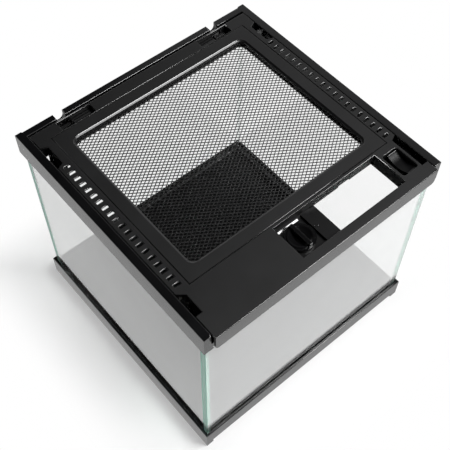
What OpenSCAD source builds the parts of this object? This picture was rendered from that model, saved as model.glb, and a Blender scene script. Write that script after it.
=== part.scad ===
// Small glass reptile terrarium: four glass panes between a base frame and a top frame,
// closed by a hinged lid with a mesh screen, a sliding feeding door, cable inlets and a thumb latch.
// Millimetres. Origin at the middle of the resting face, X to the right, Y to the back, Z up.

/* [Tank] */
// Width over the side rails
tank_w = 200; // [197:1:230]
// Depth of both frames, without the lid's apron
tank_d = 197; // [190:1:230]
// Height from the table to the top of the lid
tank_h = 172; // [140:1:260]
// Thickness of every glass pane
glass_t = 4; // [3:0.5:4.5]

/* [Frames] */
// Height of the base frame
base_h = 18; // [14:0.5:26]
// Height of the top frame
top_h = 17.4; // [17:0.1:20]
// Wall of both frames on each side of the glass
frame_wall = 2.1; // [1.6:0.1:2.4]
// Width of the rail that shows round the lid
rail_w = 6; // [5.5:0.1:6.5]
// Depth of the seat that the lid drops into
lid_seat = 13; // [12.8:0.1:14]
// Height of the gap under the front and back of the base
foot_lift = 3.4; // [2:0.2:5]
// Width of a corner foot
foot_w = 6; // [5:0.5:12]
// Thickness of the floor pan
floor_t = 2.5; // [2:0.1:3.5]

/* [Lid] */
// Thickness of the lid's skin
lid_t = 2; // [1.6:0.1:2.2]
// How far the apron stands in front of the frame
apron_proud = 3; // [2.6:0.1:4]
// Height of the apron
apron_h = 13.8; // [13:0.2:16]
// Length of a vent slot
slot_len = 4.6; // [3:0.1:5]
// Width of a vent slot
slot_w = 2; // [1.2:0.1:2.5]
// Distance from one vent slot to the next
slot_pitch = 6; // [5:0.25:10]

/* [Screen] */
// Width of the flat band round the mesh
screen_band = 10; // [9:0.5:14]
// Depth of the mesh under the top of the lid
mesh_drop = 3.6; // [3.3:0.1:4.2]
// Thickness of the mesh
mesh_t = 0.8; // [0.5:0.1:1]
// Width of a mesh strand
strand_w = 1.6; // [1:0.1:2.4]
// Gaps across the mesh
gaps_across = 18; // [10:1:18]
// Gaps from front to back of the mesh
gaps_deep = 14; // [8:1:14]

/* [Feeding door] */
// Space left of the parked door
park_left = 26.6; // [19:0.2:40]
// Width of the door bay, front to back
bay_w = 27.5; // [25:0.1:32]
// Thickness of the sliding door
door_t = 1.6; // [1.4:0.1:1.8]
// Diameter of the turn knob
knob_d = 20.4; // [16:0.2:20.8]

/* [Thumb latch] */
// Travel of the latch bolt
latch_travel = 4; // [3:0.1:4.2]
// Length of the thumb pad, front to back
pad_len = 18.4; // [14:0.2:18.6]
// Width of the bolt
bolt_w = 6; // [4:0.2:6.4]

/* [Cable inlets] */
// Length of an inlet slot in the lid
inlet_len = 27; // [22:0.5:27.5]
// Part of an inlet slot that an open shutter leaves free
inlet_open = 10.6; // [8:0.2:11]
// Width of the cable notch in the back rail
notch_w = 7.4; // [5:0.2:9]
// Depth of the cable notch
notch_depth = 7; // [5.5:0.1:9]

/* [Hidden] */

$fn = 48;
over = 1;
seat_gap = 0.3;
seam_gap = 0.4;
shaft_gap = 0.05;

// Colours
moulded = [0.1, 0.1, 0.1];
dark_moulded = [0.05, 0.05, 0.05];
clear_glass = [0.72, 0.86, 0.8, 0.4];
clear_seal = [0.85, 0.88, 0.86];
bright_steel = [0.7, 0.7, 0.72];

// Where the tank's faces lie
right = tank_w / 2;
left = -right;
front = (apron_proud - tank_d) / 2;
back = front + tank_d;
top_z = tank_h - top_h;

function from_left(a) = left + a;
function from_right(a) = right - a;
function from_front(a) = front + a;
function from_back(a) = back - a;
function below_top(a) = tank_h - a;

// Glass channel, as distances in from the frames' outer faces
glass_out = frame_wall + seat_gap;
glass_in = glass_out + glass_t;
skirt_out = glass_in + seat_gap;
frame_in = skirt_out + frame_wall;
web_t = 2;
glass_z0 = foot_lift + web_t + seat_gap;
shelf_z = tank_h - lid_seat;
glass_z1 = shelf_z - web_t - seat_gap;
glass_arris = 0.4;
floor_ledge = 3.2;
floor_z = foot_lift + web_t + seat_gap;
inner_rim_drop = 1;
bead_leg = 1.6;
bead_drop = 1;

// Top frame
post_w = 5.4;
post_sweep_r = 34;
post_sweep_drop = 6;
fascia_recess = 1;
back_set = 0.8;
back_set_end = 5;
peg_r = 1.1;
peg_in = 10;
peg_h = 9;
peg_front_y = 27.5;
peg_back_y = 26;
rail_slot_depth = 2.4;

// Hinge: pins along X near the back corners, close under the lid's top
hinge_in = 9.8;
hinge_drop = 2.5;
pin_r = 1.2;
pin_blind = 2;
pin_end_gap = 0.2;
boss_len = 6.2;
pin_len = rail_w - pin_blind - pin_end_gap + seam_gap + boss_len;

// Lid
lid_in = rail_w + seam_gap;
lid_back_gap = 0.8;
lid_back = rail_w + lid_back_gap;
lid_chamfer = 1;
skirt_t = 1.6;
skirt_z = shelf_z + seat_gap;
skirt_front = 10;
skirt_back = 13;
back_skirt_drop = 5.5;
apron_t = 1.8;
apron_corner_r = 3;
slot_in = 11.6;
wall_t = 1.4;
pocket_in = 11.4;
pocket_floor_drop = 10.6;
front_pocket_y = 15.5;
front_pocket_len = 14.3;
front_flare = 4.2;
back_pocket_y = 22.7;
back_pocket_len = 16.6;
side_pocket_front = 6.4;
side_pocket_len = 26.8;
pocket_flare = 2.2;
slot_skin = 1;
slot_relief = 1;

// Door bay, measured from the tank's right and front faces
bay_right = 29.4;
bay_front = 4.3;

// Screen, measured from the tank's faces to its outer edge; its front edge lies behind the bay
screen_side = 16.5;
screen_shift = 0.9;
screen_web = 2.5;
screen_front = bay_front + bay_w + screen_web;
screen_back = 17.7;
screen_x0 = from_left(screen_side + screen_shift);
screen_x1 = from_right(screen_side - screen_shift);
screen_y0 = from_front(screen_front);
screen_y1 = from_back(screen_back);
screen_r = 5;
screen_flange_t = lid_t;
screen_wall_t = 1.8;
mesh_lap = 1.5;
mesh_z1 = below_top(mesh_drop);
mesh_z0 = mesh_z1 - mesh_t;
retainer_t = 1.6;
retainer_lip_t = 1.6;
retainer_lip_drop = 0.6;
retainer_gap = 0.2;
ledge_in = 3.2;
ledge_out = 0.9;
ledge_t = 2;
slope_run = 1.5;
slope_drop = 0.85;
clip_len = 8;
clip_t = 1.4;
clip_barb = 0.9;
clip_back = 4.9;
clip_place_shares = [-0.3, 0.3];

// Edge pockets: side, front end, back end, and how far each end flares
back_pocket_y0 = from_back(back_pocket_y + back_pocket_len);
back_pocket_y1 = from_back(back_pocket_y);
peg_pockets = [
    [-1, from_front(front_pocket_y), from_front(front_pocket_y + front_pocket_len), 0, front_flare],
    [-1, back_pocket_y0, back_pocket_y1, pocket_flare, pocket_flare],
    [1, back_pocket_y0, back_pocket_y1, pocket_flare, pocket_flare]];
bolt_pocket_y0 = from_front(side_pocket_front);
bolt_pocket = [1, bolt_pocket_y0, bolt_pocket_y0 + side_pocket_len, 0, pocket_flare];

// Vent slots start beside the screen's front corner and stop short of the back pockets
slot_y0 = screen_y0 + slot_len;
slot_end = back_pocket_y0 - pocket_flare - slot_w;
slot_count = floor((slot_end - slot_y0) / slot_pitch) + 1;

// Door bay and its guides
bay_y0 = from_front(bay_front);
bay_y1 = bay_y0 + bay_w;
bay_mid = (bay_y0 + bay_y1) / 2;
bay_x1 = from_right(bay_right);
door_end_gap = 0.6;
door_side_gap = 0.3;
door_grip_len = 35.2;
door_lap = 1;
hatch_len = (tank_w - park_left - bay_right - door_grip_len - door_lap + door_end_gap) / 2;
door_travel = hatch_len - door_end_gap;
door_x1 = bay_x1 - hatch_len;
bay_x0 = door_x1 - door_grip_len;
door_x0 = bay_x0 - door_travel - door_lap;
guide_wall_t = 1.3;
guide_x0 = door_x0 - door_end_gap;
door_top_drop = 6.4;
door_z1 = below_top(door_top_drop);
door_z0 = door_z1 - door_t;
door_under = 2.6;
lip_lap = 1.3;
lip_t = 2.2;
gate_skin = 0.7;
track_half = bay_w / 2 + door_under + door_side_gap;
lip_half = bay_w / 2 + door_under - lip_lap;
track_roof_t = 1.2;
track_roof_z0 = door_z1 + seat_gap;
lip_z1 = door_z0 - seat_gap;
lip_z0 = lip_z1 - lip_t;
rib_in = 1.2;
nose_len = 4.1;
nose_drop = 0.8;
ledge_block_back = 13;
ledge_block_len = 3.8;
ledge_block_h = 2;
front_bar_w = 1.3;
front_bar_h = 1.2;
bar_start = 1.2;
bar_len = 18.2;
bar_slope = 1.2;
bar_w = 0.3;
bar_h = 0.7;
dot_r = 0.6;
dot_gap = 2;

// Turn knob, its cam below the door and the screw that holds both
knob_r = knob_d / 2;
knob_x = bay_x0 + seat_gap + knob_r;
knob_h = 3.4;
knob_ring_w = 1.5;
knob_groove = 0.7;
fin_w = 2.6;
fin_h = 5.7;
bowl_depth = 2.5;
bowl_edge = 2.6;
bowl_half = knob_r - bowl_edge;
bowl_r = (bowl_half * bowl_half + bowl_depth * bowl_depth) / (2 * bowl_depth);
hub_floor = 0.3;
hub_r = 3;
stub_w = 3.6;
stub_gap = 0.1;
cam_t = 1.4;
cam_w = 6;
cam_gap = gate_skin + 2 * seat_gap;
hub_gap = 0.15;
cam_bite = 0.7;
cam_half = lip_half + cam_bite;
cam_gate_half = sqrt(cam_half * cam_half - lip_half * lip_half) + seam_gap;
cam_z1 = door_z0 - cam_gap;
cam_z0 = cam_z1 - cam_t;
screw_r = 1;
screw_head_r = 2.6;
screw_head_t = 1.2;
screw_len = 5;
drive_w = 0.7;
drive_depth = 0.5;

// Thumb latch in its pocket beside the bay
latch_in = 13.6;
latch_web = 0.6;
latch_pocket_len = 20;
latch_front = 7.6;
latch_pocket_r = 2;
latch_pad_w = 8.2;
latch_pad_gap = 0.4;
latch_pad_drop = 1.2;
thumb_scoop_r = 16;
thumb_scoop_floor = 3.2;
latch_foot_t = 1.8;
latch_wall_z0_drop = 8.3;
bolt_front = 18.8;
bolt_t = 3.2;
bolt_drop = 4.2;
bolt_reach = 1.2;
foot_back = 1;
rest_ledge_w = 2;
keeper_t = 1.5;
keeper_boss_r = 2.1;
keeper_boss_y = 31;
keeper_boss_in = 2.8;
keeper_screw_r = 0.9;
keeper_head_r = 1.7;
keeper_head_t = 1.1;
keeper_screw_len = 6;
spring_r = 1.5;
spring_wire_r = 0.28;
spring_turns = 7;
spring_sides = 6;
spring_steps = 8;
spring_bore_gap = 0.3;
spring_bore_len = 5.6;
spring_drop = 6.8;

// Cable inlets and shutters
inlet_left_x = 27;
inlet_right_x = 25;
inlet_back = 8.8;
inlet_w = 7.8;
shutter_over = 1;
shutter_t = 1.5;
shutter_drop = 4.6;
shutter_edge = 1.6;
shutter_gap = 0.3;
shutter_lip_w = 1.4;
tray_t = 1.5;
shutter_grip_w = 1.2;
shutter_grip_h = 1;
notch_x = 33;

module block(x0, x1, y0, y1, z0, z1) {
    translate([x0, y0, z0]) cube([x1 - x0, y1 - y0, z1 - z0]);
}

// Rectangular ring between two distances in from the tank's outer faces
module tank_ring(outer, inner, z0, z1) {
    difference() {
        block(left + outer, right - outer, front + outer, back - outer, z0, z1);
        block(left + inner, right - inner, front + inner, back - inner, z0 - over, z1 + over);
    }
}

// Plan of the screen's outer edge, grown or shrunk, with rounded corners
module screen_plan(grow, r = 0) {
    x0 = screen_x0 - grow;
    x1 = screen_x1 + grow;
    y0 = screen_y0 - grow;
    y1 = screen_y1 + grow;
    if (r > 0) {
        translate([x0 + r, y0]) square([x1 - x0 - 2 * r, y1 - y0]);
        translate([x0, y0 + r]) square([x1 - x0, y1 - y0 - 2 * r]);
        for (x = [x0 + r, x1 - r], y = [y0 + r, y1 - r]) translate([x, y]) circle(r);
    } else {
        translate([x0, y0]) square([x1 - x0, y1 - y0]);
    }
}

module screen_ring(outer, inner, z0, z1, outer_r = 0, inner_r = 0) {
    translate([0, 0, z0]) linear_extrude(z1 - z0) difference() {
        screen_plan(outer, outer_r);
        screen_plan(inner, inner_r);
    }
}

module rounded_block(x0, x1, y0, y1, z0, z1, r) {
    block(x0 + r, x1 - r, y0, y1, z0, z1);
    block(x0, x1, y0 + r, y1 - r, z0, z1);
    for (x = [x0 + r, x1 - r], y = [y0 + r, y1 - r]) translate([x, y, z0]) cylinder(r = r, h = z1 - z0);
}

// Rod along X, starting at x0
module rod_x(x0, y, z, r, len) {
    translate([x0, y, z]) rotate([0, 90, 0]) cylinder(r = r, h = len);
}

// Glass pane with arrised upright edges
module pane(x0, x1, y0, y1) {
    a = glass_arris;
    color(clear_glass) translate([0, 0, glass_z0]) linear_extrude(glass_z1 - glass_z0) polygon([
        [x0 + a, y0], [x1 - a, y0], [x1, y0 + a], [x1, y1 - a],
        [x1 - a, y1], [x0 + a, y1], [x0, y1 - a], [x0, y0 + a]]);
}

module base_frame() {
    color(moulded) {
        difference() {
            union() {
                tank_ring(0, frame_wall, 0, base_h);
                tank_ring(0, frame_in + floor_ledge, foot_lift, foot_lift + web_t);
                tank_ring(skirt_out, frame_in, foot_lift, base_h - inner_rim_drop);
            }
            block(left + foot_w, right - foot_w, front - over, back + over, -over, foot_lift);
        }
        for (x = [left, right - foot_w], y = [front, back - foot_w])
            block(x, x + foot_w, y, y + foot_w, 0, foot_lift + web_t / 2);
    }
}

module floor_pan() {
    edge = frame_in + seat_gap;
    color(dark_moulded)
        block(left + edge, right - edge, front + edge, back - edge, floor_z, floor_z + floor_t);
}

module glass_front() {
    pane(left + glass_out, right - glass_out, front + glass_out, front + glass_in);
}

module glass_back() {
    pane(left + glass_out, right - glass_out, back - glass_in, back - glass_out);
}

module glass_left() {
    pane(left + glass_out, left + glass_in, front + glass_in + shaft_gap, back - glass_in - shaft_gap);
}

module glass_right() {
    pane(right - glass_in, right - glass_out, front + glass_in + shaft_gap, back - glass_in - shaft_gap);
}

// One bead fills the inner corner of two panes, with a hollow face
module corner_bead(sx, sy) {
    x = sx * (right - glass_in - shaft_gap);
    y = sy > 0 ? back - glass_in - shaft_gap : front + glass_in + shaft_gap;
    translate([x, y]) scale([-sx, -sy]) difference() {
        square(bead_leg);
        translate([bead_leg, bead_leg]) circle(bead_leg - shaft_gap);
    }
}

module corner_seals() {
    z0 = base_h + shaft_gap;
    z1 = top_z - bead_drop;
    color(clear_seal) translate([0, 0, z0]) linear_extrude(z1 - z0)
        for (sx = [-1, 1], sy = [-1, 1]) corner_bead(sx, sy);
}

// Outline of the shallow recess behind the apron, with its swept lower corners
module fascia_plan() {
    half = tank_w / 2 - post_w;
    centre_x = half - post_sweep_r;
    centre_z = below_top(post_sweep_drop);
    z0 = top_z - over;
    intersection() {
        translate([-half, z0]) square([2 * half, tank_h + over - z0]);
        union() {
            for (s = [-1, 1]) translate([s * centre_x, centre_z]) circle(post_sweep_r, $fn = 160);
            translate([-centre_x, z0]) square([2 * centre_x, tank_h + over - z0]);
            translate([-half, centre_z]) square([2 * half, tank_h + over - centre_z]);
        }
    }
}

// Notch through the back rail that a cable or tube drops into
module cable_notch(x) {
    r = notch_w / 2;
    z = below_top(notch_depth) + r;
    translate([x, from_back(rail_w + over), z]) rotate([-90, 0, 0]) cylinder(r = r, h = rail_w + 2 * over);
    block(x - r, x + r, from_back(rail_w + over), back + over, z, tank_h + over);
}

// Wider shelf under one of the lid's edge pockets
module pocket_shelf(pocket) {
    side = pocket[0];
    inner = side * (right - pocket_in - wall_t);
    edge = side * (right - rail_w);
    block(min(inner, edge), max(inner, edge), pocket[1], pocket[2], shelf_z - web_t, shelf_z);
}

// Post on the shelf that centres the lid inside one of its edge pockets
module locating_peg(side, y) {
    x = side * (right - peg_in);
    translate([x, y, shelf_z - web_t / 2]) cylinder(r = peg_r, h = peg_h + web_t / 2 - peg_r);
    translate([x, y, shelf_z + peg_h - peg_r]) sphere(peg_r);
}

module top_frame() {
    color(moulded) difference() {
        union() {
            tank_ring(0, frame_wall, top_z, shelf_z);
            tank_ring(skirt_out, frame_in, top_z, shelf_z);
            tank_ring(0, frame_in, shelf_z - web_t, shelf_z);
            difference() {
                tank_ring(0, rail_w, shelf_z - web_t / 2, tank_h);
                block(left + rail_w, right - rail_w, front - over, front + rail_w + over,
                    shelf_z, tank_h + over);
            }
            for (pocket = peg_pockets) pocket_shelf(pocket);
            pocket_shelf(bolt_pocket);
            locating_peg(-1, from_front(peg_front_y));
            for (side = [-1, 1]) locating_peg(side, from_back(peg_back_y));
        }
        translate([0, front + fascia_recess, 0]) rotate([90, 0, 0])
            linear_extrude(fascia_recess + over) fascia_plan();
        block(left + back_set_end, right - back_set_end, back - back_set, back + over,
            shelf_z, tank_h + over);
        for (s = [-1, 1]) cable_notch(s * (right - notch_x));
        for (x = [from_left(pin_blind), from_right(rail_w + over)])
            rod_x(x, from_back(hinge_in), below_top(hinge_drop),
                pin_r + shaft_gap, rail_w - pin_blind + over);
        block(right - rail_w - over, right - rail_w + rail_slot_depth,
            bolt_y0 - seam_gap, bolt_y1 + seam_gap, bolt_z0 - seam_gap, bolt_z1 + seam_gap);
    }
}

module hinge_pins() {
    outer = pin_blind + pin_end_gap;
    color(bright_steel) for (x = [from_left(outer), from_right(outer + pin_len)])
        rod_x(x, from_back(hinge_in), below_top(hinge_drop), pin_r, pin_len);
}

// Edge pocket in the lid over a locating peg, open at the bottom; its ends flare towards the rail
module edge_pocket(pocket) {
    side = pocket[0];
    inner = side * (right - pocket_in);
    edge = side * (right - lid_in);
    outer = side * (right - lid_in + over);
    y0 = pocket[1];
    y1 = pocket[2];
    e0 = y0 - pocket[3];
    e1 = y1 + pocket[4];
    translate([0, 0, shelf_z]) linear_extrude(lid_seat + over)
        polygon([[inner, y0], [edge, e0], [outer, e0], [outer, e1], [edge, e1], [inner, y1]]);
}

// Walls that close an edge pocket off from the tank
module pocket_walls(pocket) {
    side = pocket[0];
    inner = side * (right - pocket_in);
    wall = side * (right - pocket_in - wall_t);
    outer = side * (right - lid_in);
    y0 = pocket[1] - pocket[3] - wall_t;
    y1 = pocket[2] + pocket[4];
    z0 = below_top(pocket_floor_drop);
    block(min(inner, wall), max(inner, wall), y0, y1 + wall_t, z0, below_top(lid_t));
    for (y = [y0, y1])
        block(min(outer, wall), max(outer, wall), y, y + wall_t, z0, below_top(lid_t));
}

module vent_slots() {
    relief = slot_len / 2 + slot_relief;
    for (side = [-1, 1]) block(side * (right - slot_in) - relief, side * (right - slot_in) + relief,
        slot_y0 - slot_w / 2 - seam_gap, slot_y0 + (slot_count - 1) * slot_pitch + slot_w / 2 + seam_gap,
        below_top(lid_t + over), below_top(slot_skin));
    for (side = [-1, 1], i = [0 : slot_count - 1])
        translate([side * (right - slot_in), slot_y0 + i * slot_pitch, below_top(lid_t + over)])
            translate([-slot_len / 2, -slot_w / 2]) cube([slot_len, slot_w, lid_t + 2 * over]);
}

// Block on one side of the bay, between two distances from its middle line
module bay_side(s, near, far, x0, x1, z0, z1) {
    a = bay_mid + s * near;
    b = bay_mid + s * far;
    block(x0, x1, min(a, b), max(a, b), z0, z1);
}

// Moulding under the lid: walls of the bay, and channels beside them that carry the door's edges
module door_track() {
    x0 = guide_x0 - guide_wall_t;
    x1 = bay_x1 + guide_wall_t;
    bay_half = bay_w / 2;
    narrow = bay_half + guide_wall_t;
    wide = track_half + guide_wall_t;
    skin_z = below_top(lid_t);
    roof_z1 = track_roof_z0 + track_roof_t;
    color(moulded) difference() {
        union() {
            for (s = [-1, 1]) {
                bay_side(s, bay_half, narrow, x0, x1, track_roof_z0, skin_z);
                bay_side(s, bay_half, wide, x0, x1, track_roof_z0, roof_z1);
                bay_side(s, track_half, wide, x0, x1, lip_z0, roof_z1);
                bay_side(s, lip_half, wide, x0, x1, lip_z0, lip_z1);
            }
            for (x = [x0, bay_x1]) {
                block(x, x + guide_wall_t, bay_mid - wide, bay_mid + wide, lip_z0, roof_z1);
                block(x, x + guide_wall_t, bay_mid - narrow, bay_mid + narrow, lip_z0, skin_z);
            }
            block(bay_x0 - guide_wall_t, bay_x0, bay_mid - narrow, bay_mid + narrow, track_roof_z0, skin_z);
        }
        for (x = [knob_x, knob_x + door_travel])
            block(x - cam_gate_half, x + cam_gate_half, bay_mid - track_half, bay_mid + track_half,
                lip_z0 - over, lip_z1 - gate_skin);
    }
}

// Thumb latch places
latch_x1 = from_right(latch_in);
latch_x0 = bay_x1 + guide_wall_t + latch_web + seat_gap;
latch_y0 = from_front(latch_front);
latch_y1 = latch_y0 + latch_pocket_len;
latch_mid = (latch_y0 + latch_y1) / 2;
pad_x1 = latch_x1 - latch_pad_gap;
pad_x0 = pad_x1 - latch_pad_w;
pad_y0 = latch_mid - pad_len / 2;
pad_y1 = latch_mid + pad_len / 2;
pad_z1 = below_top(latch_pad_drop);
latch_wall_z0 = below_top(latch_wall_z0_drop);
foot_z1 = latch_wall_z0 - seat_gap;
foot_z0 = foot_z1 - latch_foot_t;
bolt_y0 = from_front(bolt_front);
bolt_y1 = bolt_y0 + bolt_w;
bolt_z1 = below_top(bolt_drop);
bolt_z0 = bolt_z1 - bolt_t;
bolt_x1 = right - rail_w + bolt_reach;
keeper_z1 = foot_z0 - seat_gap;
keeper_z0 = keeper_z1 - keeper_t;
keeper_x0 = latch_x0 + seat_gap;
keeper_x1 = latch_x1 + seat_gap;
spring_y = latch_mid;
spring_z = below_top(spring_drop);
spring_x0 = latch_x0 + shaft_gap + spring_wire_r;
spring_x1 = pad_x0 + spring_bore_len - shaft_gap - spring_wire_r;
boss_xs = [keeper_x0 + keeper_boss_in, keeper_x1 - keeper_boss_in];

module latch_walls() {
    z1 = below_top(lid_t);
    difference() {
        block(latch_x0 - latch_web, latch_x1 + wall_t, latch_y0 - wall_t, latch_y1 + wall_t,
            latch_wall_z0, z1);
        rounded_block(latch_x0, latch_x1, latch_y0, latch_y1,
            latch_wall_z0 - over, z1 + over, latch_pocket_r);
        block(latch_x1 - over, latch_x1 + wall_t + over, bolt_y0 - seam_gap, bolt_y1 + seam_gap,
            latch_wall_z0 - over, bolt_z1 + seam_gap);
    }
    block(latch_x1 + wall_t / 2, latch_x1 + wall_t + rest_ledge_w, bolt_y1 + seam_gap, latch_y1 + wall_t,
        latch_wall_z0, bolt_z1);
    for (x = boss_xs) translate([x, from_front(keeper_boss_y), keeper_z1])
        cylinder(r = keeper_boss_r, h = z1 - keeper_z1);
}

inlet_left_x0 = from_left(inlet_left_x);
inlet_right_x1 = from_right(inlet_right_x);
shutter_len = inlet_len + shutter_over;
shutter_reach = inlet_open + shutter_len + shutter_gap;
track_y0 = from_back(inlet_back + inlet_w + shutter_edge + shutter_gap);
track_y1 = from_back(lid_back + skirt_t);
track_low = below_top(shutter_drop) - shutter_t - shutter_gap;
track_z0 = track_low - tray_t;
inlet_spans = [
    [inlet_left_x0 - shutter_gap, inlet_left_x0 + shutter_reach],
    [inlet_right_x1 - shutter_reach, inlet_right_x1 + shutter_gap]];

// Trays under the inlet slots whose lips carry the shutters
module inlet_tracks() {
    w = shutter_lip_w;
    z1 = below_top(lid_t + seat_gap + ledge_t);
    color(moulded) for (span = inlet_spans) {
        x0 = span[0];
        x1 = span[1];
        difference() {
            block(x0 - w, x1 + w, track_y0 - w, track_y1, track_z0, track_low);
            block(x0 + w, x1 - w, track_y0 + w, track_y1 - w, track_z0 - over, track_low + over);
        }
        block(x0 - w, x1 + w, track_y0 - w, track_y0, track_low - over, z1);
        for (x = [x0 - w, x1]) block(x, x + w, track_y0 - w, track_y1, track_low - over, z1);
    }
}

module lid_panel() {
    skin_z = below_top(lid_t);
    x0 = left + lid_in;
    x1 = right - lid_in;
    y1 = from_back(lid_back);
    color(moulded) difference() {
        union() {
            block(x0, x1, from_front(-apron_proud), y1, skin_z, tank_h);
            translate([0, from_front(-apron_proud), 0]) rotate([90, 0, 0]) mirror([0, 0, 1])
                linear_extrude(apron_t) difference() {
                    translate([x0, below_top(apron_h)]) square([x1 - x0, apron_h]);
                    for (s = [-1, 1]) translate([s * x1, below_top(apron_h)]) difference() {
                        square(2 * apron_corner_r, center = true);
                        translate([-s * apron_corner_r, apron_corner_r]) circle(apron_corner_r);
                    }
                }
            for (s = [-1, 1]) {
                outer = s * x1;
                inner = s * (x1 - skirt_t);
                block(min(inner, outer), max(inner, outer), from_front(skirt_front), from_back(skirt_back),
                    skirt_z, skin_z);
            }
            block(x0, x1, y1 - skirt_t, y1, below_top(back_skirt_drop), skin_z);
            screen_ring(ledge_out, -ledge_in,
                below_top(lid_t + ledge_t + seat_gap), below_top(lid_t + seat_gap));
            screen_ring(ledge_out, seat_gap, below_top(lid_t + ledge_t), skin_z);
            latch_walls();
            for (span = inlet_spans) block(span[0] - shutter_lip_w, span[1] + shutter_lip_w,
                track_y1, y1, track_z0, skin_z);
            for (pocket = peg_pockets) pocket_walls(pocket);
            for (x = [x0, x1 - boss_len]) {
                rod_x(x, from_back(hinge_in), below_top(hinge_drop), hinge_drop, boss_len);
            }
        }
        translate([0, 0, skin_z - seat_gap]) linear_extrude(lid_t + seat_gap + over) screen_plan(seat_gap);
        translate([0, 0, skin_z - seat_gap - ledge_t - over])
            linear_extrude(lid_t + ledge_t + over) screen_plan(-ledge_in);
        block(bay_x0, bay_x1, bay_y0, bay_y1, skin_z - over, tank_h + over);
        rounded_block(latch_x0, latch_x1, latch_y0, latch_y1, skin_z - over, tank_h + over, latch_pocket_r);
        vent_slots();
        for (pocket = peg_pockets) edge_pocket(pocket);
        edge_pocket(bolt_pocket);
        for (x = [inlet_left_x0, inlet_right_x1 - inlet_len]) block(x, x + inlet_len,
            from_back(inlet_back + inlet_w), from_back(inlet_back), skin_z - over, tank_h + over);
        for (s = [-1, 1]) block(s * (right - notch_x) - notch_w / 2, s * (right - notch_x) + notch_w / 2,
            y1 - skirt_t - shutter_lip_w - over, y1 + over, below_top(notch_depth + over), skin_z);
        for (x = [x0 - over, x1 - boss_len - over])
            rod_x(x, from_back(hinge_in), below_top(hinge_drop), pin_r + shaft_gap, boss_len + 2 * over);
        translate([0, y1, tank_h]) rotate([45, 0, 0])
            cube([tank_w, lid_chamfer * sqrt(2), lid_chamfer * sqrt(2)], center = true);
        for (x = boss_xs) translate([x, from_front(keeper_boss_y), keeper_z1 - over])
            cylinder(r = keeper_screw_r + shaft_gap, h = keeper_screw_len + over);
    }
}

// Snap clip under the screen's flange; it hooks below the lid's ledge
module screen_clip() {
    z0 = below_top(lid_t + seat_gap + ledge_t + 2 * seat_gap + clip_t);
    block(-clip_len / 2, clip_len / 2, 0, clip_t, z0, below_top(lid_t));
    block(-clip_len / 2, clip_len / 2, 0, clip_t + clip_barb, z0, z0 + clip_t);
}

// Sloped edge round the mesh opening, as a cutter about the opening's middle
module screen_slope(x, y, half_w, half_d) {
    r = screen_r;
    rise = over * slope_run / slope_drop;
    profile = [[-over, -slope_drop], [0, -slope_drop], [slope_run + rise, over], [-over, over]];
    translate([x, y, tank_h]) {
        for (turn = [0, 180]) rotate([0, 0, turn]) {
            translate([half_w, half_d - r, 0]) rotate([90, 0, 0])
                linear_extrude(2 * (half_d - r)) polygon(profile);
            translate([-half_w + r, half_d, 0]) rotate([90, 0, 90])
                linear_extrude(2 * (half_w - r)) polygon(profile);
        }
        for (sx = [-1, 1], sy = [-1, 1]) translate([sx * (half_w - r), sy * (half_d - r), -slope_drop])
            cylinder(r1 = r, r2 = r + slope_run + rise, h = slope_drop + over);
    }
}

module screen_frame() {
    open_x = (screen_x0 + screen_x1) / 2;
    open_y = (screen_y0 + screen_y1) / 2;
    half_w = (screen_x1 - screen_x0) / 2 - clip_back;
    half_d = (screen_y1 - screen_y0) / 2 - clip_back;
    color(moulded) {
        difference() {
            union() {
                screen_ring(0, -screen_band, below_top(screen_flange_t), tank_h, 0, screen_r);
                screen_ring(screen_wall_t - screen_band, -screen_band, mesh_z1, tank_h,
                    screen_r + screen_wall_t, screen_r);
            }
            screen_slope(open_x, open_y, half_w + clip_back - screen_band, half_d + clip_back - screen_band);
        }
        for (share = clip_place_shares) {
            for (s = [0, 1]) translate([open_x, open_y, 0]) mirror([0, s, 0])
                translate([share * 2 * half_w, half_d, 0]) screen_clip();
            for (s = [0, 1]) translate([open_x, open_y, 0]) mirror([s, 0, 0])
                translate([half_w, share * 2 * half_d, 0]) rotate([0, 0, -90]) screen_clip();
        }
    }
}

// Rhombus hole of the coarse mesh
module mesh_gap(w, d) {
    polygon([[-w / 2, 0], [0, -d / 2], [w / 2, 0], [0, d / 2]]);
}

module screen_mesh() {
    x0 = screen_x0 + screen_band;
    y0 = screen_y0 + screen_band;
    cell_w = (screen_x1 - screen_x0 - 2 * screen_band) / gaps_across;
    cell_d = (screen_y1 - screen_y0 - 2 * screen_band) / gaps_deep;
    grow = mesh_lap - screen_band;
    color(dark_moulded) translate([0, 0, mesh_z0]) linear_extrude(mesh_t - retainer_gap) difference() {
        screen_plan(grow, screen_r);
        for (i = [0 : gaps_across - 1], j = [0 : gaps_deep - 1])
            translate([x0 + (i + 0.5) * cell_w, y0 + (j + 0.5) * cell_d])
                mesh_gap(cell_w - strand_w / 2, cell_d - strand_w / 2);
    }
}

module mesh_retainer() {
    z1 = mesh_z0 - retainer_gap;
    lip_in = screen_wall_t + retainer_gap - screen_band;
    lip_out = lip_in + retainer_lip_t;
    color(moulded) {
        screen_ring(lip_out, -screen_band, z1 - retainer_t, z1, screen_r, screen_r);
        screen_ring(lip_out, lip_in, z1 - retainer_t, below_top(lid_t + retainer_lip_drop),
            screen_r, screen_r);
    }
}

module latch_keeper() {
    color(moulded) difference() {
        block(keeper_x0, keeper_x1, from_front(frame_in + seam_gap),
            from_front(keeper_boss_y + keeper_boss_r), keeper_z0, keeper_z1 - shaft_gap);
        for (x = boss_xs) translate([x, from_front(keeper_boss_y), keeper_z0 - over])
            cylinder(r = keeper_screw_r + shaft_gap, h = keeper_t + 2 * over);
    }
}

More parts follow.
